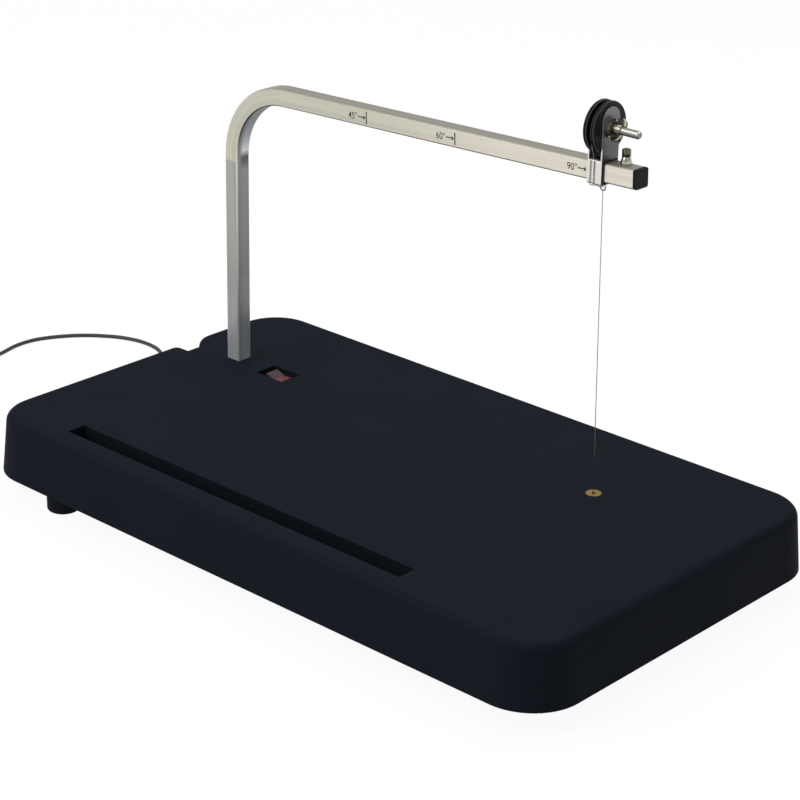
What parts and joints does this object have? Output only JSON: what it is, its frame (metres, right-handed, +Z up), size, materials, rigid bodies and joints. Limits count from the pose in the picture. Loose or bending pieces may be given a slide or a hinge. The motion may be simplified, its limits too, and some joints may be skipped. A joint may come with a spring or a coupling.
{
  "type": "hot wire cutter",
  "caption": "Bench hot wire foam cutter: moulded table with fence slot and switch, bent square arm, sliding wire head with spool and wing nut, low voltage lead with plug-in supply.",
  "frame": {"origin": "middle of the table's outline, on the surface that the feet stand on", "axes": "+X along the table towards the arm's open end, -Y the side with the fence slot, +Z up"},
  "size_m": [0.6726, 0.277, 0.3064],
  "materials": {
    "table_plastic": "fine satin texture, near black",
    "cover_plastic": "satin",
    "foot_rubber": "matt",
    "arm_steel": "satin stainless steel, brushed along its length",
    "cap_plastic": "satin",
    "stop_screw_steel": "yellow zinc plated",
    "zinc_steel": "bright zinc plated",
    "brass": "turned",
    "switch_plastic": "satin",
    "tab_metal": "tinned",
    "rocker_plastic": "translucent red",
    "bracket_steel": "satin sheet",
    "liner_plastic": "satin",
    "spool_plastic": "half gloss black",
    "resistance_wire": "drawn",
    "wing_metal": "bright, cast and plated",
    "eyelet_steel": "bright",
    "gland_rubber": "matt",
    "lead_insulation": "satin",
    "lead_sheath": "soft sheath",
    "tie_plastic": "matt",
    "adapter_plastic": "fine spark texture",
    "pin_metal": "nickel plated"
  },
  "bodies": {
    "base": {"base_shell": "table_plastic", "bottom_plate": "cover_plastic", "feet": "foot_rubber", "foot_screws": "zinc_steel", "plate_screws": "zinc_steel", "arm_tube": "arm_steel", "arm_end_cap": "cap_plastic", "arm_clamp_bolt": "zinc_steel", "arm_clamp_nut": "zinc_steel", "stop_screw": "stop_screw_steel", "stop_washer": "zinc_steel", "stop_nut": "zinc_steel", "table_bush": "brass", "lower_terminal": "brass", "terminal_screws": "zinc_steel", "switch_body": "switch_plastic", "switch_terminals": "tab_metal", "cutting_wire": "resistance_wire", "cable_gland": "gland_rubber", "inner_leads": "lead_insulation", "power_cable": "lead_sheath", "cable_coil": "lead_sheath", "cable_tail": "lead_sheath", "coil_tie": "tie_plastic", "adapter_housing": "adapter_plastic", "adapter_pins": "pin_metal"},
    "rocker": {"rocker": "rocker_plastic"},
    "slider": {"slider_bracket": "bracket_steel", "slider_liner": "liner_plastic", "spool_bolt": "zinc_steel", "flat_washer": "zinc_steel", "wire_eyelet": "eyelet_steel", "wire_wrap": "resistance_wire"},
    "spool": {"spool": "spool_plastic", "wire_winding": "resistance_wire"},
    "clamp_washer": {"spring_washer": "zinc_steel"},
    "wing": {"wing_nut": "wing_metal"}
  },
  "joints": [
    {"name": "slider_slide", "type": "slide", "parent": "base", "child": "slider", "axis": [0.9993, 0, 0.0366], "range_m": [-0.2574, 0.0055], "deforming": ["cutting_wire"]},
    {"name": "spool_spin", "type": "hinge", "parent": "slider", "child": "spool", "pos_m": [0.11819, 0.0498, 0.29043], "axis": [1, 0, 0], "continuous": true},
    {"name": "washer_slide", "type": "slide", "parent": "slider", "child": "clamp_washer", "axis": [1, 0, 0], "range_m": [0, 0.0024]},
    {"name": "wing_turn", "type": "hinge", "parent": "clamp_washer", "child": "wing", "pos_m": [0.13009, 0.0498, 0.29043], "axis": [1, 0, 0], "range_deg": [0, 1080]},
    {"name": "rocker_tilt", "type": "hinge", "parent": "base", "child": "rocker", "pos_m": [-0.1473, 0.0473, 0.0505], "axis": [0, -1, 0], "range_deg": [0, 18]}
  ],
  "couplings": [
    {"joint": "wing_turn", "follows": "washer_slide", "rad_per_m": 7854}
  ]
}
